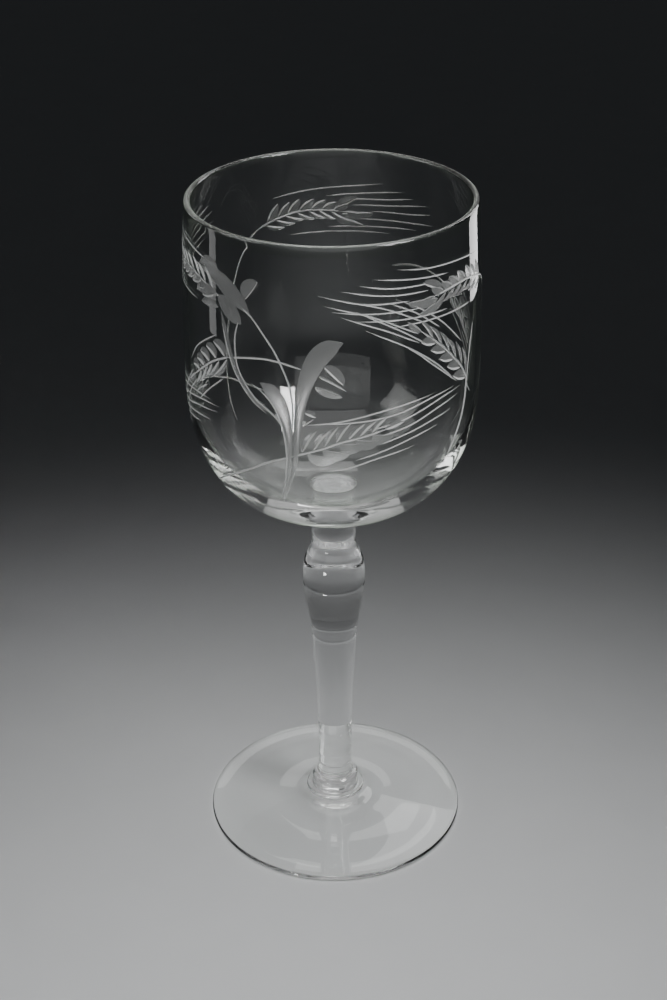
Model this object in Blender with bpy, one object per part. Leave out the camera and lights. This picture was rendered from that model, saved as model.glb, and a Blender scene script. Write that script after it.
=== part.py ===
"""A stemmed wine glass: blown bowl, drawn baluster stem, joining wafer and spun foot.

The glass is made of four pieces of clear glass that the glassmaker fuses hot, one on top of the
other. Each piece is turned about the Z axis, the foot rests on Z = 0, and the pieces meet on
flat joints. Lengths are in metres.
"""

from math import cos, pi, sin

import bmesh
import bpy
from mathutils import Vector

MM = 0.001

# Driving dimensions of the whole glass.
HEIGHT = 170 * MM
RIM_RADIUS = 32.95 * MM
FOOT_RADIUS = 33.0 * MM
JOINT_GAP = 0.3 * MM

# Bowl: a side that draws in a little towards the rim, over a full rounded bottom.
BELLY_RADIUS = 34.4 * MM
BELLY_HEIGHT = 129.2 * MM
BOWL_BOTTOM = 92.0 * MM
BOWL_SQUARENESS = 2.6
RIM_WALL = 1.5 * MM
SIDE_WALL = 1.3 * MM
BOTTOM_WALL = 4.0 * MM
SEAT_RADIUS = 6.2 * MM

# Stem: a neck, a knop, a long taper and a short straight shank.
NECK_RADIUS = 5.5 * MM
NECK_TOP = 90.9 * MM
NECK_BOTTOM = 80.4 * MM
KNOP_BASE_RADIUS = 6.05 * MM
KNOP_BASE_HEIGHT = 79.0 * MM
KNOP_RADIUS = 7.75 * MM
KNOP_HEIGHT = 70.3 * MM
UNDER_KNOP_RADIUS = 7.0 * MM
UNDER_KNOP_HEIGHT = 62.7 * MM
WAIST_RADIUS = 5.7 * MM
WAIST_HEIGHT = 54.3 * MM
SHANK_RADIUS = 4.3 * MM
SHANK_TOP = 25.2 * MM
SHANK_BOTTOM = 13.4 * MM
STEM_BOTTOM = 10.4 * MM
STEM_SEAT_RADIUS = 4.7 * MM

# Wafer: the dab of hot glass that joins the stem to the foot, pressed into two steps.
WAFER_RADIUS = 6.0 * MM
WAFER_SHOULDER = 8.2 * MM
WAFER_STEP = 6.6 * MM
FLANGE_RADIUS = 7.2 * MM
FLANGE_TOP = 6.3 * MM
FLANGE_BOTTOM = 5.2 * MM

# Foot: a thin disc that rises to the wafer, hollowed a little underneath.
FOOT_CENTRE_TOP = FLANGE_BOTTOM - JOINT_GAP
FOOT_EDGE = 1.3 * MM
FOOT_HOLLOW = 1.6 * MM
REST_INNER = 27.0 * MM
REST_OUTER = 32.3 * MM

# Bows: how far the middle of a curved stretch stands out from a straight line, or in if below 0.
FLARE_BOW = -0.12 * MM
KNOP_BOW = 0.55 * MM
UNDER_KNOP_BOW = 0.25 * MM
WAIST_BOW = -0.1 * MM
TAPER_BOW = -0.22 * MM
WAFER_BOW = 0.3 * MM
FOOT_BOW = -0.35 * MM
HOLLOW_BOW = -0.4 * MM

# Facets: how many flat sides stand for a round one.
WIDE_SIDES = 56
SLIM_SIDES = 28


def curved(start, end, bow, steps):
    """Points after start on a curve to end. A piece's outline keeps its glass on the right."""
    chord = end - start
    left = Vector((-chord.y, chord.x)).normalized()
    shares = [step / steps for step in range(1, steps + 1)]
    return [start + chord * share + left * bow * 4 * share * (1 - share) for share in shares]


def outline(start, *stretches):
    """(radius, height) points: a start, then (end, bow, steps) for each stretch after it."""
    points = [Vector(start)]
    for end, bow, steps in stretches:
        points += curved(points[-1], Vector(end), bow, steps)
    return points


def bowl_side(rim_radius, belly_radius, bottom, side_steps, bottom_steps):
    """One face of the bowl's wall, from the rim down to the middle of the bottom."""
    rim_height = HEIGHT - RIM_WALL / 2
    points = []
    for step in range(side_steps):
        share = 1 - step / side_steps
        radius = belly_radius - (belly_radius - rim_radius) * share**2
        points.append(Vector((radius, BELLY_HEIGHT + (rim_height - BELLY_HEIGHT) * share)))
    for step in range(bottom_steps):
        turn = pi / 2 * step / bottom_steps
        radius = belly_radius * cos(turn) ** (2 / BOWL_SQUARENESS)
        drop = (BELLY_HEIGHT - bottom) * sin(turn) ** (2 / BOWL_SQUARENESS)
        points.append(Vector((radius, BELLY_HEIGHT - drop)))
    return points + [Vector((0, bottom))]


def round_over(centre, radius, first, last, steps):
    """Points on a circle between two angles, without the two ends."""
    turns = [first + (last - first) * step / steps for step in range(1, steps)]
    return [centre + Vector((cos(turn), sin(turn))) * radius for turn in turns]


def bowl_outline():
    """The flat seat, the wall's outer face, the round rim and the wall's inner face."""
    outer = bowl_side(RIM_RADIUS, BELLY_RADIUS, BOWL_BOTTOM, 6, 12)
    seat = [Vector((0, BOWL_BOTTOM)), Vector((SEAT_RADIUS, BOWL_BOTTOM))]
    wall = [point for point in reversed(outer) if point.x > SEAT_RADIUS + RIM_WALL]
    lip = Vector((RIM_RADIUS - RIM_WALL / 2, HEIGHT - RIM_WALL / 2))
    rim = round_over(lip, RIM_WALL / 2, 0, pi, 4)
    inner_bottom = BOWL_BOTTOM + BOTTOM_WALL
    inner = bowl_side(RIM_RADIUS - RIM_WALL, BELLY_RADIUS - SIDE_WALL, inner_bottom, 5, 10)
    return seat + wall + rim + inner


def stem_outline():
    """The stem from its seat under the bowl to its seat on the wafer."""
    top = BOWL_BOTTOM - JOINT_GAP
    return outline(
        (0, top),
        ((SEAT_RADIUS, top), 0, 1),
        ((NECK_RADIUS, NECK_TOP), FLARE_BOW, 3),
        ((NECK_RADIUS, NECK_BOTTOM), 0, 1),
        ((KNOP_BASE_RADIUS, KNOP_BASE_HEIGHT), FLARE_BOW, 2),
        ((KNOP_RADIUS, KNOP_HEIGHT), KNOP_BOW, 5),
        ((UNDER_KNOP_RADIUS, UNDER_KNOP_HEIGHT), UNDER_KNOP_BOW, 3),
        ((WAIST_RADIUS, WAIST_HEIGHT), WAIST_BOW, 3),
        ((SHANK_RADIUS, SHANK_TOP), TAPER_BOW, 5),
        ((SHANK_RADIUS, SHANK_BOTTOM), 0, 1),
        ((STEM_SEAT_RADIUS, STEM_BOTTOM), FLARE_BOW, 2),
        ((0, STEM_BOTTOM), 0, 1),
    )


def wafer_outline():
    """Two rounded steps: the upper one under the stem, the lower one spread on the foot."""
    top = STEM_BOTTOM - JOINT_GAP
    return outline(
        (0, top),
        ((STEM_SEAT_RADIUS, top), 0, 1),
        ((WAFER_RADIUS, WAFER_SHOULDER), WAFER_BOW, 3),
        ((WAFER_RADIUS, WAFER_STEP), 0, 1),
        ((FLANGE_RADIUS, FLANGE_TOP), 0, 1),
        ((FLANGE_RADIUS, FLANGE_BOTTOM), WAFER_BOW, 3),
        ((0, FLANGE_BOTTOM), 0, 1),
    )


def foot_outline():
    """A disc with a rising top, a rounded edge, a flat resting ring and a shallow hollow."""
    edge_radius = FOOT_EDGE / 2
    edge = Vector((FOOT_RADIUS - edge_radius, edge_radius))
    top = outline(
        (0, FOOT_CENTRE_TOP),
        ((FLANGE_RADIUS, FOOT_CENTRE_TOP), 0, 1),
        ((edge.x, FOOT_EDGE), FOOT_BOW, 5),
    )
    underside = outline(
        (REST_OUTER, 0),
        ((REST_INNER, 0), 0, 1),
        ((0, FOOT_HOLLOW), HOLLOW_BOW, 4),
    )
    return top + round_over(edge, edge_radius, pi / 2, -pi / 2, 5) + underside


def glass(name, tint):
    """Clear, polished glass of one tint."""
    material = bpy.data.materials.new(name)
    material.use_nodes = True
    surface = material.node_tree.nodes["Principled BSDF"]
    surface.inputs["Base Color"].default_value = (*tint, 1)
    surface.inputs["Roughness"].default_value = 0.02
    surface.inputs["Metallic"].default_value = 0.0
    surface.inputs["IOR"].default_value = 1.5
    surface.inputs["Transmission Weight"].default_value = 1.0
    return material


def turned(name, points, sides, tint, parent):
    """One solid piece: its outline spun once round Z, standing at its own lowest height."""
    base = min(point.y for point in points)
    shape = bmesh.new()
    corners = [shape.verts.new((point.x, 0, point.y - base)) for point in points]
    edges = [shape.edges.new(pair) for pair in zip(corners, corners[1:])]
    bmesh.ops.spin(
        shape,
        geom=corners + edges,
        cent=(0, 0, 0),
        axis=(0, 0, 1),
        angle=2 * pi,
        steps=sides,
        use_merge=True,
    )
    bmesh.ops.remove_doubles(shape, verts=shape.verts, dist=JOINT_GAP / 100)
    bmesh.ops.recalc_face_normals(shape, faces=shape.faces)
    mesh = bpy.data.meshes.new(name)
    shape.to_mesh(mesh)
    shape.free()
    mesh.materials.append(glass(name + "_glass", tint))
    mesh.shade_smooth()
    mesh.set_sharp_from_angle(angle=pi / 5)
    piece = bpy.data.objects.new(name, mesh)
    piece.location.z = base
    piece.parent = parent
    bpy.context.scene.collection.objects.link(piece)


def build():
    """Clears the scene and stands the four pieces on one another, from the bowl down."""
    for old in list(bpy.data.objects):
        bpy.data.objects.remove(old)
    stand = bpy.data.objects.new("wine_glass", None)
    bpy.context.scene.collection.objects.link(stand)
    turned("bowl", bowl_outline(), WIDE_SIDES, (0.96, 0.97, 0.95), stand)
    turned("stem", stem_outline(), SLIM_SIDES, (0.97, 0.98, 0.97), stand)
    turned("wafer", wafer_outline(), SLIM_SIDES, (0.95, 0.97, 0.95), stand)
    turned("foot", foot_outline(), WIDE_SIDES, (0.96, 0.97, 0.95), stand)


build()
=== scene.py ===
"""The looks of the wine glass: an engraved bowl, a stem with a knop, a wafer and a foot, all of
clear glass, on a pale floor under soft light.

The bowl's outside is engraved: every groove of the wheat is really cut into the wall. Lengths
are in millimetres until a mesh is made, and angles round the bowl are in degrees: 0 is the
front, and they grow to the right.
"""

import math
import random

import bpy
import numpy as np
from mathutils import Matrix, Vector
from mathutils.geometry import delaunay_2d_cdt
from mathutils.kdtree import KDTree


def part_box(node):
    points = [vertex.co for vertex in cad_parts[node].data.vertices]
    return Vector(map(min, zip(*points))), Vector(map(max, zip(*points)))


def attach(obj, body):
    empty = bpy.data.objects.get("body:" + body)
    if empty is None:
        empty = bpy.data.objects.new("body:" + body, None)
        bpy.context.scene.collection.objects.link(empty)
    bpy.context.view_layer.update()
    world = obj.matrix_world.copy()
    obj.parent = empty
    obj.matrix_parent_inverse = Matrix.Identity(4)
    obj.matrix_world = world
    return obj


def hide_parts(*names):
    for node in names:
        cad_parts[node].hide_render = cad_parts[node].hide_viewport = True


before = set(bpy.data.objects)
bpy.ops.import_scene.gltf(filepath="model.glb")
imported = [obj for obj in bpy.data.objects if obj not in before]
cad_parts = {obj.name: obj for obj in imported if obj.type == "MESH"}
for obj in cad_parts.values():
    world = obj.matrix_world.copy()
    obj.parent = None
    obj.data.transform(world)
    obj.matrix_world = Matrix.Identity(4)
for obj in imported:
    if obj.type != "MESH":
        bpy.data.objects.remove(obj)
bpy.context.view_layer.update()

MM = 0.001

# Sizes read from the CAD nodes.
bowl_low, bowl_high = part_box("bowl")
stem_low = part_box("stem")[0]
wafer_low, wafer_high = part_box("wafer")
foot_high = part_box("foot")[1]
TOP = bowl_high.z / MM
BELLY = bowl_high.x / MM
BOWL_BOTTOM = bowl_low.z / MM
STEM_BOTTOM = stem_low.z / MM
FLANGE = wafer_high.x / MM
WAFER_BOTTOM = wafer_low.z / MM
FOOT = foot_high.x / MM

# The bowl's wall. RIM_RADIUS is at the top edge, and SEAT is the radius of the joint underneath.
BELLY_HEIGHT = 129.2
SQUARENESS = 2.6
RIM_RADIUS = 32.95
RIM_WALL = 1.5
SIDE_WALL = 1.25
BOTTOM_WALL = 4.0
SEAT = 6.2

# Width of the fine crease that runs round the joint of the stem and the bowl.
CREASE = 0.4

# The band of the bowl that the engraving is cut into, and the mesh over it.
BAND_LOW = 99.0
BAND_HIGH = 167.6
BAND_MARGIN = 0.2
COLUMNS = 288
ROW_STEP = 1.15
HALF_TURN = 180
DEGREE = BELLY * math.pi / HALF_TURN

# A groove whose wall is wider than BROAD is left grey and soft, and a narrower one bright: the grey is
# painted shade and the brightness a painted highlight, lit and shaded copies of one ground glass.
BROAD = 0.6

# How close two outline points, two places and two points of the unrolled band are to be one.
SHARP_END = 0.03
WELD = 0.0005
SAME_POINT = 1e-5

# Where the cut's slope is measured: this far either side, and this share of the way to a corner.
SLOPE_STEP = 0.015
NEAR_CORNER = 0.85

# Smaller than any real share, width or height, and than the length of any face's normal.
TINY = 1e-6
TINIEST = 1e-12

# The least agreement (a cosine) between a smooth normal and the face it is on.
LEAST_AGREEMENT = 0.93

# The upper rings of the wall that show the glass along its thickness.
RIM_RINGS = 15

# The gap left between fused pieces, so that no two faces lie in one place.
TOUCH = 0.01

# The bowl's material slots. The two ground ones lie between these: the bright one a painted highlight,
# the grey one painted shade.
POLISHED = 0
JOINT = 3
THICK = 4


# ---------------------------------------------------------------- the bowl's profile


def side_radius(height, rim, belly, bottom):
    """Radius of one face of the bowl's wall at a height."""
    height = np.asarray(height, float)
    rise = np.clip((height - BELLY_HEIGHT) / (TOP - BELLY_HEIGHT), 0, 1)
    drop = np.clip((BELLY_HEIGHT - height) / (BELLY_HEIGHT - bottom), 0, 1)
    upper = belly - (belly - rim) * rise**2
    lower = belly * (1 - drop**SQUARENESS) ** (1 / SQUARENESS)
    return np.where(height >= BELLY_HEIGHT, upper, lower)


def outer_radius(height):
    """Radius of the bowl's outside at a height."""
    return side_radius(height, RIM_RADIUS, BELLY, BOWL_BOTTOM)


def outer_normal(height):
    """(out, up) parts of the outside's normal, and how fast the wall's length grows with height."""
    step = 0.001
    slope = (outer_radius(height + step) - outer_radius(height - step)) / (2 * step)
    length = np.sqrt(1 + slope**2)
    return 1 / length, -slope / length, length


def wall_down(rim, belly, bottom, start, count):
    """(radius, height) points of one face of the wall from a height down to its middle."""
    points = []
    for height in np.linspace(start, BELLY_HEIGHT, count // 2, endpoint=False):
        points.append((float(side_radius(height, rim, belly, bottom)), float(height)))
    for turn in np.linspace(0, math.pi / 2, count):
        radius = belly * max(math.cos(turn), 0) ** (2 / SQUARENESS)
        height = BELLY_HEIGHT - (BELLY_HEIGHT - bottom) * math.sin(turn) ** (2 / SQUARENESS)
        points.append((radius, height))
    return points


# ---------------------------------------------------------------- the engraving


def at(*points):
    """(degrees round, height) points as millimetres on the unrolled belly."""
    return np.array([(angle * DEGREE, height) for angle, height in points], float)


def spot(angle, height):
    """One such point."""
    return at((angle, height))[0]


def smooth(points, count):
    """A smooth line through the points, cut into steps of equal length."""
    points = np.asarray(points, float)
    knots = np.concatenate(([0], np.cumsum(np.linalg.norm(np.diff(points, axis=0), axis=1))))
    slopes = np.gradient(points, knots, axis=0, edge_order=1)
    fine = np.linspace(0, knots[-1], 12 * count)
    piece = np.clip(np.searchsorted(knots, fine, side="right") - 1, 0, len(points) - 2)
    span = (knots[piece + 1] - knots[piece])[:, None]
    share = (fine - knots[piece])[:, None] / span
    line = (
        (2 * share**3 - 3 * share**2 + 1) * points[piece]
        + (share**3 - 2 * share**2 + share) * span * slopes[piece]
        + (3 * share**2 - 2 * share**3) * points[piece + 1]
        + (share**3 - share**2) * span * slopes[piece + 1]
    )
    along = np.concatenate(([0], np.cumsum(np.linalg.norm(np.diff(line, axis=0), axis=1))))
    places = np.linspace(0, along[-1], count)
    return np.stack([np.interp(places, along, line[:, axis]) for axis in (0, 1)], -1)


class Cut:
    """One groove: the line of its bottom, its width to the left and the right, and its depth.

    Its walls are straight when hollow is 1, and rounded like a spoon when it is 2.
    """

    def __init__(self, line, left, right, depth, hollow=1):
        self.line = np.asarray(line, float)
        count = len(self.line)
        self.left = np.broadcast_to(np.asarray(left, float), count)
        self.right = np.broadcast_to(np.asarray(right, float), count)
        self.depth = np.broadcast_to(np.asarray(depth, float), count)
        self.hollow = hollow
        way = np.gradient(self.line, axis=0)
        way /= np.linalg.norm(way, axis=1)[:, None]
        self.across = np.stack([-way[:, 1], way[:, 0]], -1)

    def moved(self, degrees, height=0.0):
        """The same groove somewhere else on the bowl."""
        line = self.line + (degrees * DEGREE, height)
        return Cut(line, self.left, self.right, self.depth, self.hollow)

    def edge(self, share):
        """The line at a share of the width: 1 is the left edge, -1 the right edge."""
        width = self.left if share > 0 else self.right
        return self.line + self.across * (share * width)[:, None]

    def outline(self):
        """The closed outline, with one point only where an end is sharp."""
        left, right = self.edge(1), self.edge(-1)[::-1]
        ring = np.concatenate([left, right])
        keep = [0]
        for index in range(1, len(ring)):
            if np.linalg.norm(ring[index] - ring[keep[-1]]) > SHARP_END:
                keep.append(index)
        if np.linalg.norm(ring[keep[-1]] - ring[0]) < SHARP_END:
            keep.pop()
        return ring[keep]

    def reach(self):
        """Lowest and highest corner of the groove's box."""
        both = np.concatenate([self.edge(1), self.edge(-1)])
        return both.min(0), both.max(0)

    def fit(self, points):
        """Depth of the groove at points on the unrolled belly, and the width of the wall there.

        Both are 0 outside the groove.
        """
        start, step = self.line[:-1], np.diff(self.line, axis=0)
        length2 = (step**2).sum(1)
        gap = points[:, None] - start[None]
        share = (gap * step[None]).sum(2) / length2[None]
        inside = np.clip(share, 0, 1)
        miss = gap - inside[..., None] * step[None]
        piece = (miss**2).sum(2).argmin(1)
        row = np.arange(len(points))
        place = piece + inside[row, piece]
        ahead, off = step[piece], miss[row, piece]
        turn = ahead[:, 0] * off[:, 1] - ahead[:, 1] * off[:, 0]
        distance = np.sqrt((off**2).sum(1))
        index = np.arange(len(self.line))
        left, right = np.interp(place, index, self.left), np.interp(place, index, self.right)
        width = np.where(turn > 0, left, right)
        most = np.where(turn > 0, self.left.max(), self.right.max())
        depth = np.interp(place, index, self.depth)
        own = share[row, piece]
        past = ((piece == 0) & (own < -TINY)) | ((piece == len(step) - 1) & (own > 1 + TINY))
        off_share = distance / np.maximum(width, TINY)
        outside = past | (off_share >= 1)
        depth = depth * (1 - np.minimum(off_share, 1) ** self.hollow)
        return np.where(outside, 0, depth), np.where(outside, 0, most)


def stalk(points, width, depth=0.16, ends=(0.35, 0.35)):
    """A long even groove, narrowed towards its ends."""
    count = max(10, int(np.linalg.norm(np.diff(points, axis=0), axis=1).sum() / 0.9))
    share = np.linspace(0, 1, count)
    narrow = np.minimum(1, ends[0] + share * 6) * np.minimum(1, ends[1] + (1 - share) * 6)
    return Cut(smooth(points, count), width / 2 * narrow, width / 2 * narrow, depth * narrow)


def awn(points, width=0.34, depth=0.13):
    """A hair-thin groove that runs out to nothing at both ends."""
    count = max(8, int(np.linalg.norm(np.diff(points, axis=0), axis=1).sum() / 1.3))
    share = np.linspace(0, 1, count)
    swell = np.clip(np.minimum(share * 9, (1 - share) * 5), 0.12, 1)
    return Cut(smooth(points, count), width / 2 * swell, width / 2 * swell, depth * swell)


def grain(root, tip, broad, steep=0.4, depth=0.3, bend=0.0, blunt=0.0):
    """A grain of wheat: a pointed scoop with a broad easy side and a narrow steep one.

    A positive broad side lies left of the way from root to tip, a negative one right of it.
    A blunt grain is round at both ends.
    """
    root, tip = np.asarray(root, float), np.asarray(tip, float)
    way = tip - root
    side = np.array([-way[1], way[0]])
    middle = (root + tip) / 2 + side * bend
    line = smooth([root, middle, tip], 15)
    share = np.linspace(0, 1, 15)
    swell = np.sin(math.pi * share**0.85) ** (0.85 - 0.35 * blunt)
    swell[[0, -1]] = 0
    left, right = (broad, steep) if broad > 0 else (steep, -broad)
    return Cut(line, left * swell, right * swell, depth * np.sin(math.pi * share) ** 0.6)


def blade(points, halves, depth):
    """A leaf hollowed like a spoon: half widths and depths are given at even places along it."""
    count = 34
    share = np.linspace(0, 1, count)
    half = np.interp(share, np.linspace(0, 1, len(halves)), halves)
    deep = np.interp(share, np.linspace(0, 1, len(depth)), depth)
    return Cut(smooth(points, count), half, half, deep, hollow=2)


def ear(spine, left, right, first=0.06, last=0.97, offset=0.36, taper=0.25):
    """The grains of one ear, in a row along each side of its spine, and the spine itself.

    left and right give the number, length, width, lean in degrees and bluntness of that side's
    grains.
    """
    line = smooth(spine, 60)
    way = np.gradient(line, axis=0)
    way /= np.linalg.norm(way, axis=1)[:, None]
    cuts = [stalk(spine, 0.46, 0.15, ends=(1, 0.2))]
    draw = random.Random(len(spine) * 100 + left[0])
    for side, (count, length, broad, angle, blunt) in ((1, left), (-1, right)):
        for number in range(count):
            share = first + (last - first) * (number + (0.25 if side < 0 else 0)) / count
            place = int(share * 59)
            across = np.array([-way[place][1], way[place][0]]) * side
            lean = math.radians(angle * draw.uniform(0.94, 1.06) * (1 - 0.35 * share))
            heading = way[place] * math.cos(lean) + across * math.sin(lean)
            root = line[place] + across * offset
            size = length * draw.uniform(0.95, 1.05) * (1 - taper * share)
            width = broad * (1 - 0.5 * taper * share)
            bend = 0.06 * side
            cuts.append(grain(root, root + heading * size, width * side, bend=bend, blunt=blunt))
    tip = line[-1] + way[-1] * left[1] * 0.7
    cuts.append(grain(line[-1] - way[-1] * 0.4, tip, 1.2, depth=0.26))
    return cuts


def upper_ear(slim_above=False):
    """The ear high on the bowl that lies over to the left, with its awns."""
    spine = at((210.5, 151.8), (202.4, 153.3), (195.6, 154.2), (188.7, 154.5), (174, 153.9))
    slim, full = (7, 5.6, 0.75, 32, 0), (7, 5.0, -1.9, 38, 0.6)
    below, above = (full, slim) if slim_above else (slim, full)
    cuts = ear(spine, below, above, offset=0.34)
    cuts.append(grain(spot(176, 153.2), spot(162, 154.0), 1.7, depth=0.26, blunt=1))
    cuts.append(grain(spot(178.5, 152.6), spot(166.5, 150.6), 1.5, depth=0.26, blunt=1))
    cuts.append(grain(spot(178, 155.0), spot(169, 157.6), -1.5, depth=0.26, blunt=1))
    hairs = (
        ((204.9, 158.5), (192.6, 159.5), (165.2, 161.1), (158.3, 161.8)),
        ((182, 158.0), (164.2, 159.1), (149.3, 160.3)),
        ((172, 157.2), (154.4, 158.0), (143.9, 159.2)),
        ((171.5, 155.7), (154.4, 156.4), (137.3, 158.2)),
        ((163, 154.4), (144.6, 155.2), (135.3, 156.3)),
        ((168, 152.2), (144.6, 153.0), (134.0, 153.7)),
        ((181.4, 150.0), (164.2, 150.4), (142.5, 151.4)),
        ((197, 148.5), (174, 148.9), (155.4, 149.2)),
    )
    return cuts + [awn(at(*hair)) for hair in hairs]


def lower_ear():
    """The ear low on the bowl that points right, with its awns and its long stalk."""
    spine = at((-13, 122), (-8.7, 122.9), (-3, 124.1), (3, 125.5), (8.3, 126.2), (20, 127.8))
    cuts = ear(spine, (7, 6.4, 0.95, 40, 0), (5, 6.9, 2.2, 25, 0.7), offset=0.34)
    stem_line = at((-58.6, 107.1), (-41.9, 112.9), (-32.2, 116.3), (-25.3, 118.8), (-13, 122))
    cuts.append(stalk(stem_line, 0.45))
    hairs = (
        ((-9.9, 129.6), (-2.3, 130.1), (20.5, 132.4), (40.4, 133.5)),
        ((-4.0, 129.9), (23.8, 130.9), (40, 132.6), (51.4, 133.0)),
        ((12, 128.0), (22.3, 128.7), (46.5, 131.8), (55.6, 132.2)),
        ((14, 125.9), (29.8, 127.5), (41.2, 129.4), (54.1, 130.6)),
        ((17.4, 124.2), (29.8, 125.8), (39.7, 127.0), (49.5, 127.8)),
        ((8.3, 120.8), (20, 122.6), (29.8, 124.1), (42.0, 125.4)),
        ((-4.5, 118.2), (3.8, 118.6), (15.1, 120.5), (31.4, 122.1)),
    )
    return cuts + [awn(at(*hair), 0.38) for hair in hairs]


def climbing_ear():
    """The ear on the right that climbs up and to the left from its own stalk."""
    spine = at((60.6, 133), (55.6, 137.1), (50.3, 140.3), (45, 143.5), (38.9, 146.6), (33.5, 149.3))
    cuts = ear(spine, (5, 6.0, -2.2, 32, 0.8), (6, 7.9, 0.75, 18, 0), first=0.03, last=0.93, taper=0.35)
    cuts.append(stalk(at((60.6, 133), (59.6, 128), (57.3, 123.5), (54, 119.5), (50.5, 115.5)), 0.8, 0.2))
    cuts.append(stalk(at((60.8, 131.5), (61.3, 134.4), (62.7, 139), (65.5, 145)), 0.5))
    cuts.append(stalk(at((59.5, 133), (62, 130.2), (64, 128.6)), 0.3))
    hairs = (
        ((56.3, 142.6), (42.7, 150.4), (32.1, 154.9), (23.4, 157.6)),
        ((43, 148.6), (31.5, 153.7), (20, 157.2)),
        ((36, 150.8), (20, 155.6), (-5, 159.5)),
        ((33, 148.6), (14, 154.4), (-3, 157.3)),
        ((38, 145.2), (25, 150.4), (8.3, 155.9)),
        ((33.3, 146.5), (19.7, 150.8), (3.2, 154.7)),
        ((51.5, 134.6), (40, 141.0), (28, 146.2), (11.7, 151.5)),
        ((53.4, 133.6), (40, 140.2), (30, 145.3), (23.5, 147.9)),
    )
    return cuts + [awn(at(*hair)) for hair in hairs]


def drooping_ear():
    """The ear on the left that droops from an arched stalk."""
    spine = at((-42.2, 141.9), (-47.2, 140.5), (-51.7, 138.9), (-56.2, 136.9), (-64, 133.4))
    slim, round_ones = (5, 7.2, 1.0, 25, 0), (5, 4.6, 2.2, 58, 1)
    cuts = ear(spine, slim, round_ones, first=0.0, last=0.95, offset=0.34, taper=0.4)
    arch = at((-11.4, 142.7), (-18.2, 143.7), (-25, 144), (-30.5, 143.6), (-37.3, 142.7), (-42.2, 141.9))
    cuts.append(stalk(arch, 0.45))
    hairs = (
        ((-47.9, 146.2), (-54.7, 143.7), (-61.5, 140.7), (-67.6, 136.2)),
        ((-44.1, 136.6), (-53.2, 132.1), (-61.5, 127.5)),
        ((-54, 133.1), (-58.5, 131.4), (-63, 129.4)),
        ((-62, 132.6), (-69, 128.5), (-76, 122.5)),
        ((-66, 133.9), (-73, 129.6), (-81, 124.5)),
    )
    return cuts + [awn(at(*hair)) for hair in hairs]


def leaves():
    """The two broad blades that rise from the front's lowest point, and the line along the left one."""
    right = at(
        (-20.6, 108.8), (-16.4, 115), (-14.3, 120), (-13.2, 126), (-12.6, 130.7), (-11.7, 134.4),
        (-10.6, 137.8), (-8.8, 141.2), (-6.2, 144.6), (-3, 147), (0.6, 148.3), (4, 149),
    )
    left = at(
        (-21, 109), (-18.2, 114), (-16.8, 118.5), (-16.3, 122.5), (-16.5, 126.5),
        (-17.4, 130), (-18.9, 133), (-21, 135.4), (-23.9, 137.2), (-27.4, 138.3),
    )
    side = at(
        (-31, 137.6), (-27.2, 136.4), (-23.6, 134.5), (-20.6, 131.7), (-18.7, 128.4),
        (-17.7, 125), (-17.4, 121), (-17.8, 117.3), (-19.2, 113.3), (-21.4, 109.4),
    )
    return [
        blade(
            right,
            (0.1, 0.28, 0.44, 0.54, 0.6, 0.64, 0.7, 0.85,
             1.05, 1.28, 1.52, 1.85, 2.15, 2.35, 2.05, 0.03),
            (0.04, 0.2, 0.24, 0.24, 0.22, 0.2, 0.16, 0.12, 0.03),
        ),
        blade(
            left,
            (0.1, 0.3, 0.36, 0.4, 0.46, 0.62, 0.86, 1.15, 1.5, 1.85, 1.8, 0.03),
            (0.04, 0.2, 0.22, 0.22, 0.2, 0.16, 0.12, 0.03),
        ),
        stalk(side, 0.36, 0.14, ends=(0.2, 0.3)),
    ]


def side_grains():
    """The few grains that stand off the right blade's outer edge."""
    return [
        grain(spot(-3.1, 143.6), spot(3.9, 139.2), 1.9, steep=0.3, blunt=1),
        awn(at((-4.9, 141.2), (0, 139.7), (4.9, 137.8)), 0.42),
        grain(spot(-6.4, 138.9), spot(3.5, 136.4), -1.3, steep=0.3, blunt=0.6),
        grain(spot(-10.1, 132.5), spot(-6.0, 131.5), 1.1, steep=0.3, blunt=0.6),
        awn(at((-10.9, 129.3), (-9, 130.2), (-7.0, 131.1)), 0.3),
    ]


def root_leaves():
    """The broad leaves at the root of the upper ear."""
    return [
        blade(
            at((-58, 160.2), (-50, 160.3), (-44, 159), (-38, 156.7), (-31.2, 153.8)),
            (0.03, 0.8, 1.2, 1.5, 1.8, 2.05, 2.15, 2.05, 1.7, 1.1, 0.03),
            (0.03, 0.14, 0.22, 0.24, 0.22, 0.14, 0.03),
        ),
        blade(
            at((-47, 155.8), (-43.2, 154.4), (-39.5, 152.8), (-35, 150.8)),
            (0.03, 1.3, 1.9, 2.1, 2.0, 1.5, 0.03), (0.03, 0.2, 0.26, 0.24, 0.14, 0.03),
        ),
        blade(
            at((-58.5, 160.9), (-54.5, 162.1), (-50.5, 162.3), (-46, 160.9)),
            (0.03, 0.9, 1.25, 1.25, 0.9, 0.03), (0.03, 0.2, 0.22, 0.2, 0.03),
        ),
        grain(spot(-33.4, 156.6), spot(-27.8, 161.2), 2.7, steep=0.3, depth=0.24, blunt=1),
        blade(
            at((-61, 154.3), (-56, 155.6), (-51, 155.9), (-46.2, 155.6)),
            (0.03, 0.9, 1.35, 1.35, 0.9, 0.03), (0.03, 0.2, 0.22, 0.2, 0.03),
        ),
        blade(
            at((-57, 152.4), (-53, 153.1), (-49.5, 153.2), (-46.2, 152.9)),
            (0.03, 0.9, 1.15, 0.9, 0.03), (0.03, 0.2, 0.2, 0.03),
        ),
    ]


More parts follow.
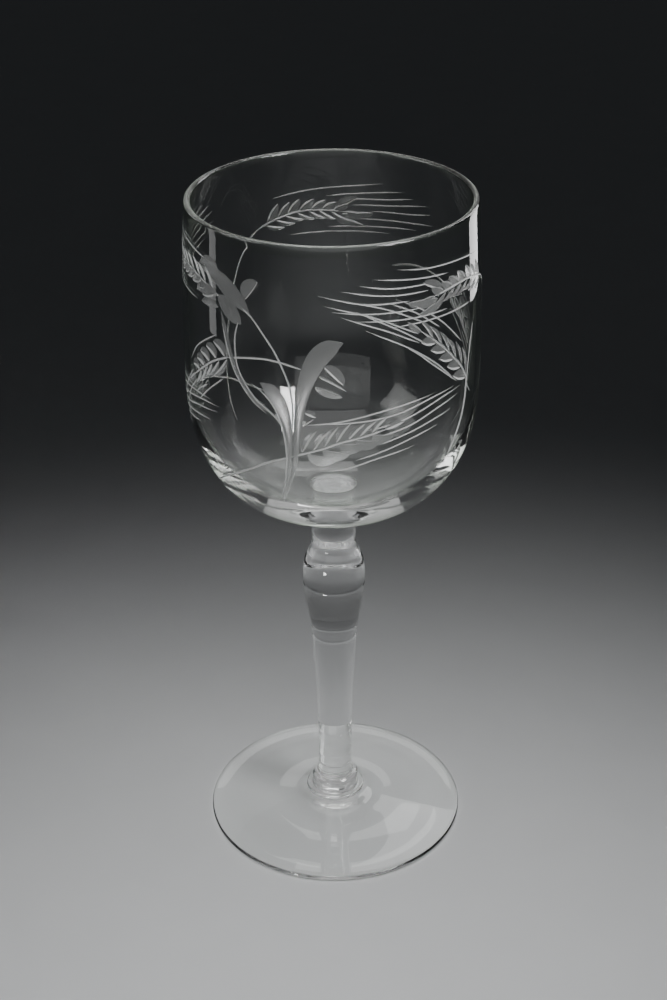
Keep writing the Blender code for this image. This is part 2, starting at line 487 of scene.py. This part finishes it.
def root_stalks():
    """The stalks that run down from those leaves to the foot of the front spray."""
    return [
        blade(
            at(
                (-44.9, 152.3), (-43.3, 149.3), (-41.4, 145), (-39.5, 142.3),
                (-36.8, 138.9), (-32.9, 135.7), (-29.1, 133.4), (-24.2, 131.6),
            ),
            (0.1, 0.62, 0.66, 0.6, 0.5, 0.45, 0.36, 0.25, 0.1), (0.06, 0.2, 0.2, 0.2, 0.18, 0.05),
        ),
        stalk(
            at(
                (-44.2, 149.5), (-42.7, 145.8), (-40.9, 142.6), (-38.2, 139.1),
                (-34.4, 135.9), (-30.2, 133.3), (-25, 131.2),
            ),
            0.3,
        ),
        stalk(
            at(
                (-36.4, 151.2), (-37.9, 147.9), (-38, 144.4), (-36.8, 140.4), (-33.3, 136.9),
                (-29.1, 134.1), (-24.5, 132.2), (-20, 129.8), (-17.6, 127),
            ),
            0.42,
        ),
        stalk(
            at(
                (-37.3, 155.3), (-31.1, 153.2), (-26.1, 149.9), (-21.4, 146.1),
                (-18.1, 142.2), (-15.8, 138.4), (-14.8, 134.5), (-14.9, 127),
            ),
            0.42,
        ),
    ]


def small_sprig():
    """A small leaf with two strokes under it, low on the back."""
    return [
        grain(spot(175.5, 108.4), spot(184, 112.6), -1.6, depth=0.3),
        awn(at((174, 107.1), (180, 109.2), (187, 110.9))),
        grain(spot(176, 105.9), spot(188, 107.8), 0.5, depth=0.2),
    ]


def engraving():
    """Every groove on the bowl: the front spray, the ears round it and their copies behind."""
    ear_over = upper_ear()
    ear_low = lower_ear()
    cuts = leaves() + side_grains() + root_leaves() + root_stalks() + drooping_ear() + climbing_ear()
    cuts += ear_low + small_sprig() + ear_over
    cuts += [cut.moved(-134, 2.2) for cut in ear_over]
    cuts += [cut.moved(-257, 3.8) for cut in upper_ear(slim_above=True)]
    back_stalk = stalk(
        at(
            (209, 152.2), (213.2, 150.9), (216.7, 149.3), (221, 146.4),
            (225.6, 140.4), (229, 132), (232, 122), (236.4, 105.5),
        ),
        0.5,
    )
    cuts += [back_stalk, back_stalk.moved(-134, 2.2)]
    cuts += [cut.moved(-103, -3.2) for cut in ear_low]
    cuts += [cut.moved(165, -1.0) for cut in drooping_ear()]
    return cuts


def within_band(cuts):
    """The grooves that show between the unrolled band's two ends, with those that wrap round."""
    half = HALF_TURN * DEGREE
    kept = []
    for cut in cuts:
        for times in (-1, 0, 1):
            copy = cut.moved(2 * HALF_TURN * times)
            low, high = copy.reach()
            if high[0] > -half and low[0] < half:
                kept.append(copy)
            assert low[1] > BAND_LOW + BAND_MARGIN and high[1] < BAND_HIGH - BAND_MARGIN, (low, high)
    return kept


def engraved(cuts, points):
    """How deep the glass is cut at points on the unrolled belly, and how broad the deepest cut is."""
    depth = np.zeros(len(points))
    width = np.zeros(len(points))
    for cut in cuts:
        low, high = cut.reach()
        near = np.flatnonzero(np.all((points > low - 0.01) & (points < high + 0.01), axis=1))
        if len(near):
            deep, wide = cut.fit(points[near])
            most = (wide > 0) & (deep >= depth[near])
            depth[near[most]] = deep[most]
            width[near[most]] = wide[most]
    return depth, width


def band_rows():
    """Heights of the mesh's rows, closer where the wall turns in below."""
    heights = [BAND_LOW]
    while heights[-1] < BAND_HIGH:
        heights.append(heights[-1] + ROW_STEP / float(outer_normal(heights[-1])[2]))
    scale = (BAND_HIGH - BAND_LOW) / (heights[-1] - BAND_LOW)
    return BAND_LOW + (np.array(heights) - BAND_LOW) * scale


def on_wall(flat, depth):
    """Points of the unrolled band as places in space, cut to a depth."""
    angle = flat[:, 0] / BELLY
    out, up, _ = outer_normal(flat[:, 1])
    radius = outer_radius(flat[:, 1]) - depth * out
    return np.stack([radius * np.sin(angle), -radius * np.cos(angle), flat[:, 1] - depth * up], -1)


def wall_normals(flat, slope=None):
    """Normals on the unrolled band, tilted by the slope of the cut where there is one."""
    angle = flat[:, 0] / BELLY
    out, up, growth = outer_normal(flat[:, 1])
    zero = np.zeros_like(out)
    normal = np.stack([out * np.sin(angle), -out * np.cos(angle), up], -1)
    if slope is None:
        return normal
    round_way = np.stack([np.cos(angle), np.sin(angle), zero], -1)
    up_way = np.stack([-up * np.sin(angle), up * np.cos(angle), out], -1)
    stretch = BELLY / outer_radius(flat[:, 1])
    normal = normal + round_way * (slope[:, 0] * stretch)[:, None]
    normal = normal + up_way * (slope[:, 1] / growth)[:, None]
    return normal / np.linalg.norm(normal, axis=1)[:, None]


def near_face(normals, corners):
    """Corner normals, with the face's own normal wherever one strays too far from it."""
    flat = np.cross(corners[:, 1] - corners[:, 0], corners[:, 2] - corners[:, 0])
    flat = (flat / np.maximum(np.linalg.norm(flat, axis=1), TINIEST)[:, None])[:, None]
    agree = (normals * flat).sum(2, keepdims=True)
    return np.where(agree > LEAST_AGREEMENT, normals, flat)


def band_grid():
    """The points of the band's grid, and the lines round its outside as pairs of points."""
    half = HALF_TURN * DEGREE
    rows = band_rows()
    columns = np.linspace(-half, half, COLUMNS + 1)
    flat = [(x, y) for y in rows for x in columns]
    width = COLUMNS + 1
    edges = []
    for row in (0, len(rows) - 1):
        edges += [(row * width + i, row * width + i + 1) for i in range(COLUMNS)]
    for column in (0, COLUMNS):
        edges += [(row * width + column, (row + 1) * width + column) for row in range(len(rows) - 1)]
    return flat, edges


def add_groove(cut, flat, edges):
    """Adds a groove's outline and its bottom, and for a spoon the lines half way up its walls."""
    start = len(flat)
    ring = cut.outline()
    flat += [tuple(point) for point in ring]
    edges += [(start + i, start + (i + 1) % len(ring)) for i in range(len(ring))]
    lines = [cut.line]
    if cut.hollow > 1:
        lines += [cut.edge(0.5), cut.edge(-0.5)]
    for line in lines:
        start = len(flat)
        line = line[1:-1]
        flat += [tuple(point) for point in line]
        edges += [(start + i, start + i + 1) for i in range(len(line) - 1)]


def triangulate_band(cuts):
    """The unrolled band as points and triangles that follow every groove's edges and bottom."""
    flat, edges = band_grid()
    for groove in cuts:
        add_groove(groove, flat, edges)
    vectors = [Vector(point) for point in flat]
    points, _, triangles, *_ = delaunay_2d_cdt(vectors, edges, [], 0, SAME_POINT)
    points = np.array([tuple(point) for point in points])
    triangles = np.array([list(triangle) for triangle in triangles])
    middle = points[triangles].mean(1)
    return points, triangles[np.abs(middle[:, 0]) < HALF_TURN * DEGREE]


# ---------------------------------------------------------------- meshes


def spin(points, count):
    """Places, normals and faces of an outline turned round Z, without the faces at the axis."""
    points = np.asarray(points, float)
    way = np.gradient(points, axis=0)
    way /= np.maximum(np.linalg.norm(way, axis=1), TINIEST)[:, None]
    angles = np.linspace(-math.pi, math.pi, count, endpoint=False)
    places, normals, rings = [], [], []
    for (radius, height), (ahead, rise) in zip(points, way):
        ring_at = len(places)
        turns = angles if radius > TINY else angles[:1]
        for angle in turns:
            places.append((radius * math.sin(angle), -radius * math.cos(angle), height))
            normals.append((rise * math.sin(angle), -rise * math.cos(angle), -ahead))
        rings.append([ring_at + (i if len(turns) > 1 else 0) for i in range(count)])
    faces = []
    for first, second in zip(rings, rings[1:]):
        for i in range(count):
            j = (i + 1) % count
            corners = [first[i], first[j], second[j], second[i]]
            kept = [corner for n, corner in enumerate(corners) if corner not in corners[:n]]
            faces.append(kept)
    return places, normals, faces


def make_object(name, places, faces, normals, slots, materials):
    """A mesh object from places in millimetres, with a normal for each corner of each face."""
    mesh = bpy.data.meshes.new(name)
    mesh.from_pydata([tuple(np.multiply(place, MM)) for place in places], [], faces)
    for material in materials:
        mesh.materials.append(material)
    mesh.polygons.foreach_set("material_index", slots)
    mesh.shade_smooth()
    if normals is not None:
        mesh.normals_split_custom_set(normals)
    piece = bpy.data.objects.new(name, mesh)
    bpy.context.scene.collection.objects.link(piece)
    return piece


def weld(places, faces, normals, slots):
    """Joins the places that coincide, so that the parts of one piece make one closed mesh."""
    tree = KDTree(len(places))
    for index, place in enumerate(places):
        tree.insert(place, index)
    tree.balance()
    owner = list(range(len(places)))
    for index, place in enumerate(places):
        owner[index] = min(found for _, found, _ in tree.find_range(place, WELD))
    used = sorted(set(owner))
    new_index = {old: new for new, old in enumerate(used)}
    joined, corner_normals, kept_slots = [], [], []
    for face, corners, slot in zip(faces, normals, slots):
        face = [new_index[owner[corner]] for corner in face]
        fresh = [n for n, corner in enumerate(face) if corner not in face[:n]]
        if len(fresh) > 2:
            joined.append([face[n] for n in fresh])
            corner_normals += [corners[n] for n in fresh]
            kept_slots.append(slot)
    return [places[index] for index in used], joined, corner_normals, kept_slots


def cut_slope(cuts, points):
    """How fast the glass falls away at points of the unrolled band, round the bowl and upwards."""
    steps = np.array([SLOPE_STEP, 0]), np.array([0, SLOPE_STEP])
    falls = [engraved(cuts, points + step)[0] - engraved(cuts, points - step)[0] for step in steps]
    return np.stack(falls, -1) / (2 * SLOPE_STEP)


def engraved_band():
    """The engraved part of the outside: its places, triangles, corner normals and slots."""
    cuts = within_band(engraving())
    flat, triangles = triangulate_band(cuts)
    places = on_wall(flat, engraved(cuts, flat)[0])
    corners = flat[triangles]
    middle = corners.mean(1)
    width = engraved(cuts, middle)[1]
    is_cut = width > 0
    normals = wall_normals(corners.reshape(-1, 2)).reshape(-1, 3, 3)
    near = corners[is_cut] * NEAR_CORNER + middle[is_cut][:, None] * (1 - NEAR_CORNER)
    near = near.reshape(-1, 2)
    tilted = wall_normals(near, cut_slope(cuts, near)).reshape(-1, 3, 3)
    normals[is_cut] = near_face(tilted, places[triangles[is_cut]])
    corner_normals = [list(map(tuple, face)) for face in normals]
    # Narrow cut walls take the brighter ground glass, a painted highlight; broad ones the greyer one,
    # painted shade.
    slots = is_cut * 1 + (width > BROAD)
    return [tuple(place) for place in places], triangles.tolist(), corner_normals, slots.tolist()


def bowl_bottom():
    """The outside's outline from the axis up to the engraved band."""
    wall = wall_down(RIM_RADIUS, BELLY, BOWL_BOTTOM, TOP, 90)[::-1]
    outline = [(0, BOWL_BOTTOM), (SEAT - CREASE, BOWL_BOTTOM), (SEAT, BOWL_BOTTOM)]
    outline += [point for point in wall if point[0] > SEAT + CREASE and point[1] < BAND_LOW - BAND_MARGIN]
    outline.append((float(outer_radius(BAND_LOW)), BAND_LOW))
    return outline


def rim_and_inside():
    """The outline from the engraved band up over the rounded rim and down the inside."""
    lip = TOP - RIM_WALL / 2
    outline = [(float(outer_radius(height)), height) for height in np.linspace(BAND_HIGH, lip, 4)[:-1]]
    for turn in np.linspace(0, math.pi, 13):
        inward, rise = RIM_WALL / 2 * (1 - math.cos(turn)), RIM_WALL / 2 * math.sin(turn)
        outline.append((RIM_RADIUS - inward, lip + rise))
    inside = wall_down(RIM_RADIUS - RIM_WALL, BELLY - SIDE_WALL, BOWL_BOTTOM + BOTTOM_WALL, lip, 70)
    return outline + inside[1:]


def bowl_piece(materials):
    """The bowl: seat, outside with its engraving, rim and inside, as one closed wall."""
    places, faces, normals, slots = engraved_band()
    for outline, first_slot, first_rings, rest_slot in (
        (bowl_bottom(), JOINT, 1, THICK),
        (rim_and_inside(), THICK, RIM_RINGS, POLISHED),
    ):
        more_places, more_normals, more_faces = spin(outline, COLUMNS)
        start = len(places)
        places += more_places
        for number, face in enumerate(more_faces):
            faces.append([start + corner for corner in face])
            normals.append([more_normals[corner] for corner in face])
            slots.append(first_slot if number < first_rings * COLUMNS else rest_slot)
    return make_object("engraved_bowl", *weld(places, faces, normals, slots), materials)


def turned_piece(name, outline, joints, materials, wobble=None, count=192, crease=38):
    """A piece turned round Z. joints are the heights of the flat faces fused to a neighbour."""
    places, _, faces = spin(outline, count)
    if wobble:
        places = [wobble(*place) for place in places]
    slots = []
    for face in faces:
        level = [places[corner][2] for corner in face]
        flat = max(level) - min(level) < TINY
        slots.append(int(flat and any(abs(level[0] - joint) < TINY for joint in joints)))
    piece = make_object(name, places, faces, None, slots, materials)
    piece.data.set_sharp_from_angle(angle=math.radians(crease))
    return piece


def arc_points(centre, radius, first, last, count):
    """Points on a circle between two angles in degrees."""
    turns = np.radians(np.linspace(first, last, count))
    return [(centre[0] + radius * math.cos(turn), centre[1] + radius * math.sin(turn)) for turn in turns]


def swept(points, count):
    """A smooth outline through the points."""
    return [tuple(point) for point in smooth(points, count)]


def fine_ring(radius, height, width=0.5, depth=0.05):
    """A shallow ring where the glassmaker's tool has turned on the stem."""
    return [
        (radius, height - width / 2),
        (radius - depth, height - width / 6),
        (radius - depth, height + width / 6),
        (radius, height + width / 2),
    ]


def stem_outline(low, high):
    """The stem from the wafer up to the bowl."""
    return [
        (0, low),
        (4.72, low),
        *swept([(4.72, low + 0.02), (4.5, low + 0.7), (4.36, low + 1.9), (4.33, 13.1)], 9),
        *fine_ring(4.33, 13.6),
        *fine_ring(4.33, 23.8),
        *swept(
            [
                (4.34, 24.6), (4.44, 28), (4.6, 34), (4.76, 38),
                (4.97, 42), (5.25, 46.5), (5.5, 50.5), (5.66, 53.2),
            ],
            40,
        ),
        *fine_ring(5.7, 54.0, 0.7, 0.08),
        *swept([(5.74, 54.8), (6.12, 58), (6.64, 61), (7.22, 64), (7.62, 67), (7.73, 69.0)], 24),
        *fine_ring(7.73, 69.6, 0.8, 0.12),
        *swept(
            [
                (7.74, 70.3), (7.74, 71.6), (7.64, 73.4), (7.42, 75.2), (7.0, 76.8),
                (6.35, 78.2), (5.82, 79.3), (5.58, 80.4), (5.52, 82.2),
            ],
            34,
        ),
        *swept(
            [(5.5, 83.5), (5.5, 87), (5.52, 89.6), (5.62, 90.7), (5.85, 91.5), (SEAT, high - 0.1)], 18
        ),
        (SEAT - CREASE, high),
        (0, high),
    ]


def wafer_outline(low, high):
    """The wafer's two rounded steps."""
    return [
        (0, low),
        (FLANGE - 0.5, low),
        *arc_points((FLANGE - 0.55, low + 0.62), 0.62, -80, 85, 9),
        *swept([(6.2, low + 1.36), (5.92, low + 1.7), (5.9, low + 2.3)], 6),
        *swept(
            [
                (5.98, low + 2.9), (6.0, low + 3.5), (5.85, low + 4.2),
                (5.45, low + 4.75), (4.95, high - 0.04),
            ],
            14,
        ),
        (4.72, high),
        (0, high),
    ]


def foot_outline(high):
    """The foot: a hollow underside, a flat resting ring, a rounded edge and a rising top."""
    edge = 0.64
    return [
        (0, 1.6),
        *swept([(0.3, 1.6), (9, 1.5), (18, 1.05), (24, 0.42), (26.6, 0.06), (27.2, 0)], 30),
        (29.7, 0),
        (FOOT - 0.9, 0),
        *arc_points((FOOT - edge, edge + 0.02), edge, -80, 84, 12),
        *swept(
            [
                (FOOT - 1.1, 1.34), (28.5, 1.52), (22, 2.06), (15, 2.98),
                (10, 4.0), (7.6, high - 0.1), (6.9, high),
            ],
            40,
        ),
        (0, high),
    ]


def uneven(amount, waves, seed):
    """Pushes a turned piece a little out of round, as hot glass pressed by hand is."""
    draw = random.Random(seed)
    terms = [(number, draw.uniform(0.3, 1) / number, draw.uniform(0, 2 * math.pi)) for number in waves]

    def moved(x, y, z):
        angle = math.atan2(y, x)
        push = sum(size * math.sin(number * angle + phase + z * 1.3) for number, size, phase in terms)
        radius = math.hypot(x, y)
        grow = 1 + amount * push / max(radius, 1) * min(1, radius / 4)
        return x * grow, y * grow, z

    return moved


# ---------------------------------------------------------------- materials


def new_material(name, kind="ShaderNodeBsdfPrincipled"):
    """A material with one shader in it: the material, its nodes, its links and the shader."""
    material = bpy.data.materials.new(name)
    material.use_nodes = True
    nodes = material.node_tree.nodes
    nodes.clear()
    links = material.node_tree.links
    shader = nodes.new(kind)
    output = nodes.new("ShaderNodeOutputMaterial")
    links.new(shader.outputs["BSDF"], output.inputs["Surface"])
    return material, nodes, links, shader


def noise(nodes, links, coordinates, scale, detail=2.0, stretch=(1, 1, 1)):
    """A noise texture in the object's own space, stretched along the axes."""
    mapping = nodes.new("ShaderNodeMapping")
    mapping.inputs["Scale"].default_value = stretch
    links.new(coordinates, mapping.inputs["Vector"])
    texture = nodes.new("ShaderNodeTexNoise")
    texture.inputs["Scale"].default_value = scale
    texture.inputs["Detail"].default_value = detail
    links.new(mapping.outputs["Vector"], texture.inputs["Vector"])
    return texture.outputs["Fac"]


def ranged(nodes, links, value, low, high, start=0.0, end=1.0):
    """A value carried from one range to another."""
    change = nodes.new("ShaderNodeMapRange")
    change.inputs["From Min"].default_value = start
    change.inputs["From Max"].default_value = end
    change.inputs["To Min"].default_value = low
    change.inputs["To Max"].default_value = high
    links.new(value, change.inputs["Value"])
    return change.outputs["Result"]


def bumped(nodes, links, height, strength, distance):
    """A bump from a height value."""
    bump = nodes.new("ShaderNodeBump")
    bump.inputs["Strength"].default_value = strength
    bump.inputs["Distance"].default_value = distance
    links.new(height, bump.inputs["Height"])
    return bump.outputs["Normal"]


def mixed(nodes, links, share, first, second):
    """Two colours blended by a share."""
    mix = nodes.new("ShaderNodeMix")
    mix.data_type = "RGBA"
    mix.inputs["A"].default_value = (*first, 1)
    mix.inputs["B"].default_value = (*second, 1)
    links.new(share, mix.inputs["Factor"])
    return mix.outputs["Result"]


def clear_glass(name, tint, edge_tint, wave=0.02):
    """Polished glass: clear face on, grey-green where it is seen along its thickness."""
    material, nodes, links, shader = new_material(name)
    shader.inputs["IOR"].default_value = 1.51
    shader.inputs["Transmission Weight"].default_value = 1.0
    place = nodes.new("ShaderNodeTexCoord").outputs["Object"]
    facing = nodes.new("ShaderNodeLayerWeight")
    facing.inputs["Blend"].default_value = 0.5
    grazing = ranged(nodes, links, facing.outputs["Facing"], low=0.0, high=1.0, start=0.6, end=1.0)
    links.new(mixed(nodes, links, grazing, tint, edge_tint), shader.inputs["Base Color"])
    smear = noise(nodes, links, place, scale=90, detail=4.0, stretch=(1, 1, 0.5))
    gloss = ranged(nodes, links, smear, low=0.0, high=0.035, start=0.45, end=0.75)
    links.new(gloss, shader.inputs["Roughness"])
    ripple = noise(nodes, links, place, scale=45, detail=1.0, stretch=(1, 1, 0.35))
    links.new(bumped(nodes, links, ripple, strength=wave, distance=0.001), shader.inputs["Normal"])
    return material


def ground_glass(name, clearness, dull, rough):
    """Wheel-cut glass, left grey: fine scratches and a soft, milky surface. clearness and dull set how
    bright it shows; the bowl takes a brighter copy as painted highlight and a greyer one as painted
    shade.
    """
    material, nodes, links, shader = new_material(name)
    shader.inputs["IOR"].default_value = 1.5
    shader.inputs["Transmission Weight"].default_value = clearness
    place = nodes.new("ShaderNodeTexCoord").outputs["Object"]
    cloud = noise(nodes, links, place, scale=420, detail=3.0)
    darker = (dull, dull + 0.015, dull + 0.01)
    lighter = (dull + 0.14, dull + 0.15, dull + 0.14)
    links.new(mixed(nodes, links, cloud, darker, lighter), shader.inputs["Base Color"])
    scratch = noise(nodes, links, place, scale=5200, detail=2.0, stretch=(1, 1, 0.3))
    links.new(ranged(nodes, links, scratch, *rough), shader.inputs["Roughness"])
    links.new(bumped(nodes, links, scratch, strength=0.25, distance=0.00005), shader.inputs["Normal"])
    return material


def fused_joint(name):
    """The face where two pieces are fused: nothing shows there, because it is one glass."""
    return new_material(name, "ShaderNodeBsdfTransparent")[0]


def floor_material():
    """A plain pale matt sheet with the faintest mottling."""
    material, nodes, links, shader = new_material("pale_floor")
    shader.inputs["Roughness"].default_value = 0.7
    place = nodes.new("ShaderNodeTexCoord").outputs["Object"]
    mottle = noise(nodes, links, place, scale=60, detail=3.0)
    colour = mixed(nodes, links, mottle, (0.70, 0.71, 0.72), (0.74, 0.75, 0.76))
    links.new(colour, shader.inputs["Base Color"])
    return material


# ---------------------------------------------------------------- the stage

# In metres, watts and degrees. FLOOR_GAP keeps the foot's resting ring out of the floor's face.
FLOOR_HALF = 8.0
FLOOR_GAP = 0.00002
STRIP_LENGTH = 0.5
ROOM_STRENGTH = 0.02
LENS = 63.2
SENSOR = 36
EYE = (0, -0.3738, 0.3008)
LOOK_DOWN = 29.175
ROLL = -0.372

def floor():
    """The pale floor that the glass stands on."""
    half = FLOOR_HALF
    corners = [(-half, -half, 0), (half, -half, 0), (half, half, 0), (-half, half, 0)]
    mesh = bpy.data.meshes.new("floor")
    mesh.from_pydata(corners, [], [(0, 1, 2, 3)])
    mesh.materials.append(floor_material())
    sheet = bpy.data.objects.new("floor", mesh)
    sheet.location.z = -FLOOR_GAP
    bpy.context.scene.collection.objects.link(sheet)
    return sheet


def soft_light(name, place, aim, size, power, only, through=True):
    """A rectangular soft light turned to a point, out of the camera's sight.

    only is a collection: the light's grid keeps it off everything that isn't in it. A light that
    is not to be seen through the glass shows in reflections only.
    """
    lamp = bpy.data.lights.new(name, "AREA")
    lamp.shape = "RECTANGLE"
    lamp.size, lamp.size_y = size
    lamp.energy = power
    light = bpy.data.objects.new(name, lamp)
    light.location = place
    light.rotation_euler = (Vector(aim) - Vector(place)).to_track_quat("-Z", "Y").to_euler()
    light.visible_camera = False
    light.visible_transmission = through
    light.light_linking.receiver_collection = only
    bpy.context.scene.collection.objects.link(light)


def floor_pool(floor_only, low_pieces):
    """A soft round pool of light on the floor, brightest round the foot.

    Only the low pieces shade it: clear glass higher up casts next to no shadow.
    """
    lamp = bpy.data.lights.new("pool", "SPOT")
    lamp.energy = 27
    lamp.spot_size = math.radians(36)
    lamp.spot_blend = 1
    lamp.shadow_soft_size = 0.12
    light = bpy.data.objects.new("pool", lamp)
    light.location = (0, -0.15, 0.9)
    light.light_linking.receiver_collection = floor_only
    light.light_linking.blocker_collection = low_pieces
    bpy.context.scene.collection.objects.link(light)


def gridded(name, members):
    """A collection that a light can be kept to."""
    only = bpy.data.collections.new(name)
    for member in members:
        only.objects.link(member)
    return only


def lights(pieces, sheet):
    """A pool of light on the floor, soft boxes gridded onto the glass, white sheets and a dim room."""
    glass_only = gridded("glass_only", pieces)
    floor_pool(gridded("floor_only", [sheet]), gridded("low_pieces", pieces[2:]))
    middle = (0, 0, 0.12)
    soft_light("window", (0.378, -0.264, 0.535), middle, (0.22, 0.30), 4.0, glass_only)
    soft_light("left_box", (-0.50, -0.12, 0.42), middle, (0.34, 0.30), 0.9, glass_only)
    soft_light("back_box", (0.07, 0.50, 0.50), (0, 0, 0), (0.22, 0.12), 0.2, glass_only)
    for name, place, width, power in (
        ("left_strip", (-0.36, 0.05, 0.26), 0.05, 0.12),
        ("right_back_panel", (0.27, 0.26, 0.26), 0.12, 0.9),
    ):
        level = (0, 0, place[2])
        soft_light(name, place, level, (width, STRIP_LENGTH), power, glass_only, through=False)
    leaf = (-0.009, -0.033, 0.127)
    soft_light("low_window", (-0.13, -0.21, 0.03), leaf, (0.045, 0.026), 0.14, glass_only, through=False)
    soft_light("front_sheet", (0, -1.0, 0.45), middle, (1.4, 0.8), 2.7, glass_only)
    soft_light("back_sheet", (0, 1.0, 0.45), middle, (1.4, 0.8), 1.2, glass_only)
    soft_light("top_sheet", (0, 0, 1.0), middle, (0.9, 0.9), 3.6, glass_only)
    world = bpy.data.worlds.new("dim_room")
    world.use_nodes = True
    room = world.node_tree.nodes["Background"]
    room.inputs["Color"].default_value = (0.9, 0.95, 1.0, 1)
    room.inputs["Strength"].default_value = ROOM_STRENGTH
    bpy.context.scene.world = world


def camera():
    """The camera, looking down on the glass from the front."""
    lens = bpy.data.cameras.new("camera")
    lens.lens = LENS
    lens.sensor_width = SENSOR
    lens.clip_start = 0.01
    eye = bpy.data.objects.new("camera", lens)
    eye.location = EYE
    tilt = Matrix.Rotation(math.radians(90 - LOOK_DOWN), 4, "X")
    eye.rotation_euler = (tilt @ Matrix.Rotation(math.radians(ROLL), 4, "Z")).to_euler()
    bpy.context.scene.collection.objects.link(eye)
    bpy.context.scene.camera = eye


def light_paths():
    """Enough bounces for light that is trapped in the thick bottom of the bowl and in the stem."""
    paths = bpy.context.scene.cycles
    paths.max_bounces = 32
    paths.glossy_bounces = 20
    paths.transmission_bounces = 32
    paths.transparent_max_bounces = 24


def settle(piece, node):
    """The piece stands for its CAD node and moves with the glass."""
    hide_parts(node)
    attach(piece, "root")
    return piece


def build():
    """The glass, its floor, its lights and the camera."""
    camera()
    light_paths()
    joint = fused_joint("fused_joint")
    blown = clear_glass("blown_glass", (0.985, 0.992, 0.985), (0.74, 0.90, 0.70))
    # The bright ground glass for narrow walls is a painted highlight, the greyer, clearer one for broad
    # walls painted shade.
    ground_line_painted_highlight = ground_glass("ground_line_painted_highlight", 0.5, 0.60, (0.42, 0.62))
    ground_scoop_painted_shade = ground_glass("ground_scoop_painted_shade", 0.86, 0.68, (0.18, 0.30))
    thick = clear_glass("thick_glass", (0.93, 0.985, 0.90), (0.60, 0.84, 0.48))
    drawn = clear_glass("drawn_glass", (0.985, 0.99, 0.988), (0.84, 0.88, 0.84), wave=0.035)
    stem_ends = (STEM_BOTTOM, BOWL_BOTTOM - TOUCH)
    wafer_ends = (WAFER_BOTTOM, STEM_BOTTOM - TOUCH)
    foot_end = WAFER_BOTTOM - TOUCH
    pressed = uneven(0.12, (2, 3, 5, 7), 4)
    bowl = bowl_piece((blown, ground_line_painted_highlight, ground_scoop_painted_shade, joint, thick))
    stem = turned_piece("stem_with_knop", stem_outline(*stem_ends), stem_ends, (drawn, joint))
    wafer = turned_piece(
        "joining_wafer", wafer_outline(*wafer_ends), wafer_ends, (drawn, joint), wobble=pressed
    )
    foot = turned_piece("round_foot", foot_outline(foot_end), (foot_end,), (blown, joint), count=256)
    pieces = [settle(bowl, "bowl"), settle(stem, "stem"), settle(wafer, "wafer"), settle(foot, "foot")]
    lights(pieces, floor())


build()
